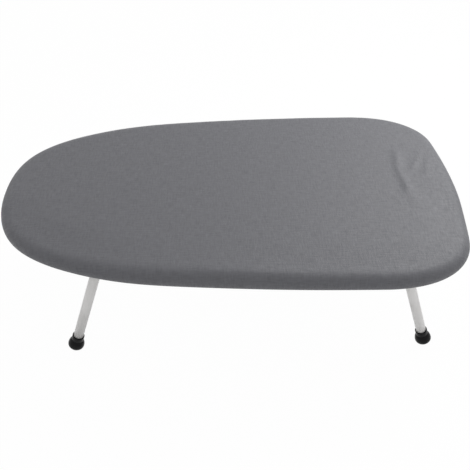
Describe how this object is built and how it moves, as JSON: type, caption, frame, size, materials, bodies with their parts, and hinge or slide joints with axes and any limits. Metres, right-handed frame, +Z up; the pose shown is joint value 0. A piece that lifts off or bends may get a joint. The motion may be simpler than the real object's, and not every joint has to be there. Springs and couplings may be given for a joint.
{
  "type": "ironing board",
  "caption": "Low tabletop ironing board with a rounded nose and a broad tail, a padded grey fabric cover over a steel mesh deck, and folding U-shaped tube legs with black end caps.",
  "frame": {"origin": "on the floor under the middle of the board, at the bottom centre of the bounding box", "axes": "+X along the board from the rounded nose to the broad tail, +Z up to the ironing surface, -Y the near side"},
  "size_m": [0.6, 0.36, 0.18],
  "materials": {
    "cover": "fine plain weave with a faint metallic sheen, mid grey",
    "pad": "open-cell foam, pale",
    "elastic": "braided elastic, off-white",
    "frame": "off-white powder coat, satin",
    "mesh": "expanded steel, grey coat",
    "leg": "off-white powder coat, satin",
    "foot": "moulded black, slightly glossy",
    "zinc": "zinc plated",
    "spring": "bare spring steel"
  },
  "bodies": {
    "board": {"cover": "cover", "foam_pad": "pad", "hem_elastic": "elastic", "rim_frame": "frame", "deck_mesh": "mesh", "nose_hinge_brace": "frame", "tail_hinge_brace": "frame", "nose_keeper_brace": "frame", "tail_keeper_brace": "frame", "nose_saddle_near": "zinc", "nose_saddle_rivet_near_inner": "zinc", "nose_saddle_rivet_near_outer": "zinc", "nose_clip_near": "spring", "nose_clip_rivet_near": "zinc", "nose_saddle_far": "zinc", "nose_saddle_rivet_far_inner": "zinc", "nose_saddle_rivet_far_outer": "zinc", "nose_clip_far": "spring", "nose_clip_rivet_far": "zinc", "tail_saddle_near": "zinc", "tail_saddle_rivet_near_inner": "zinc", "tail_saddle_rivet_near_outer": "zinc", "tail_clip_near": "spring", "tail_clip_rivet_near": "zinc", "tail_saddle_far": "zinc", "tail_saddle_rivet_far_inner": "zinc", "tail_saddle_rivet_far_outer": "zinc", "tail_clip_far": "spring", "tail_clip_rivet_far": "zinc"},
    "nose_leg": {"nose_leg": "leg", "nose_foot_near": "foot", "nose_stop_lug_near": "leg", "nose_foot_far": "foot", "nose_stop_lug_far": "leg"},
    "tail_leg": {"tail_leg": "leg", "tail_foot_near": "foot", "tail_stop_lug_near": "leg", "tail_foot_far": "foot", "tail_stop_lug_far": "leg"}
  },
  "joints": [
    {"name": "nose_leg_fold", "type": "hinge", "parent": "board", "child": "nose_leg", "pos_m": [-0.165, 0, 0.1492], "axis": [0, -1, 0], "range_deg": [0, 108]},
    {"name": "tail_leg_fold", "type": "hinge", "parent": "board", "child": "tail_leg", "pos_m": [0.211, 0, 0.1492], "axis": [0, 1, 0], "range_deg": [0, 108]}
  ]
}
